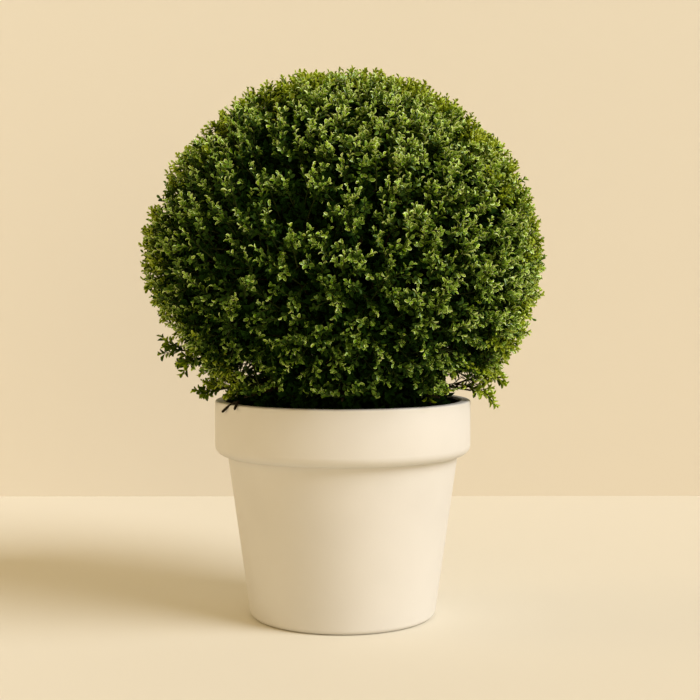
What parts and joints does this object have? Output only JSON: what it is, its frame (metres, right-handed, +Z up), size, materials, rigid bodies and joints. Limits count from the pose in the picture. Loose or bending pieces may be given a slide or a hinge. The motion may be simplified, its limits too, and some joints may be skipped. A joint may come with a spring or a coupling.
{
  "type": "potted japanese holly ball",
  "caption": "Evergreen shrub clipped to a leafy ball on a short hidden stem, growing in a round cream pot with a broad rim band, filled with dark potting soil.",
  "frame": {"origin": "middle of the pot's flat underside, on the floor", "axes": "+Z up along the pot's axis, -Y towards the viewer of the picture, +X to the right in it"},
  "size_m": [0.4929, 0.4952, 0.6851],
  "materials": {
    "pot": "matte",
    "soil": "matte",
    "bark": "matte",
    "leaves": "satin"
  },
  "bodies": {
    "root": {"pot": "pot", "soil": "soil", "stem": "bark", "bough_1": "bark", "bough_2": "bark", "bough_3": "bark", "bough_4": "bark", "bough_5": "bark", "bough_6": "bark", "bough_7": "bark", "bough_8": "bark", "crown": "leaves", "skirt_1": "leaves", "skirt_2": "leaves", "skirt_3": "leaves", "skirt_4": "leaves", "skirt_5": "leaves", "skirt_6": "leaves", "skirt_7": "leaves", "skirt_8": "leaves"}
  },
  "joints": []
}
